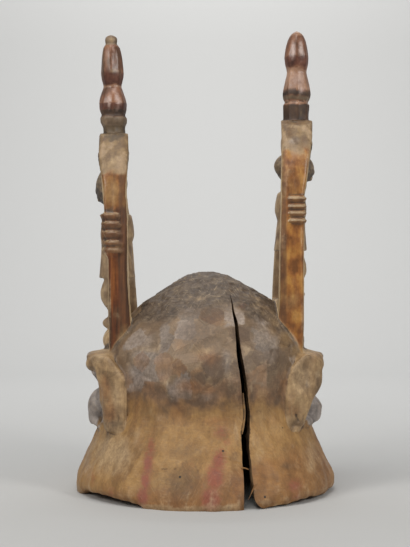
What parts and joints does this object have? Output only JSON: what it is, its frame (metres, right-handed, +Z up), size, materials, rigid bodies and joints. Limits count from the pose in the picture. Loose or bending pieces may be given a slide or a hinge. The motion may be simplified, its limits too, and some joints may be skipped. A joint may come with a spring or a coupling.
{
  "type": "carved helmet crest mask",
  "caption": "Hollow wooden helmet mask with a flared rim, carved ears and tall upright frames, each holding a small figure below a bulbous finial.",
  "frame": {"origin": "on the ground at the middle of the footprint, under the middle of the head", "axes": "+Z up along the uprights, +Y out of the mask's face, -Y out of its cracked back, +X to the mask's left ear as seen from behind on the right"},
  "size_m": [0.2708, 0.3, 0.4815],
  "materials": {
    "carved_wood": "hand-carved, worn satin"
  },
  "bodies": {
    "root": {"crest_mask": "carved_wood"}
  },
  "joints": []
}
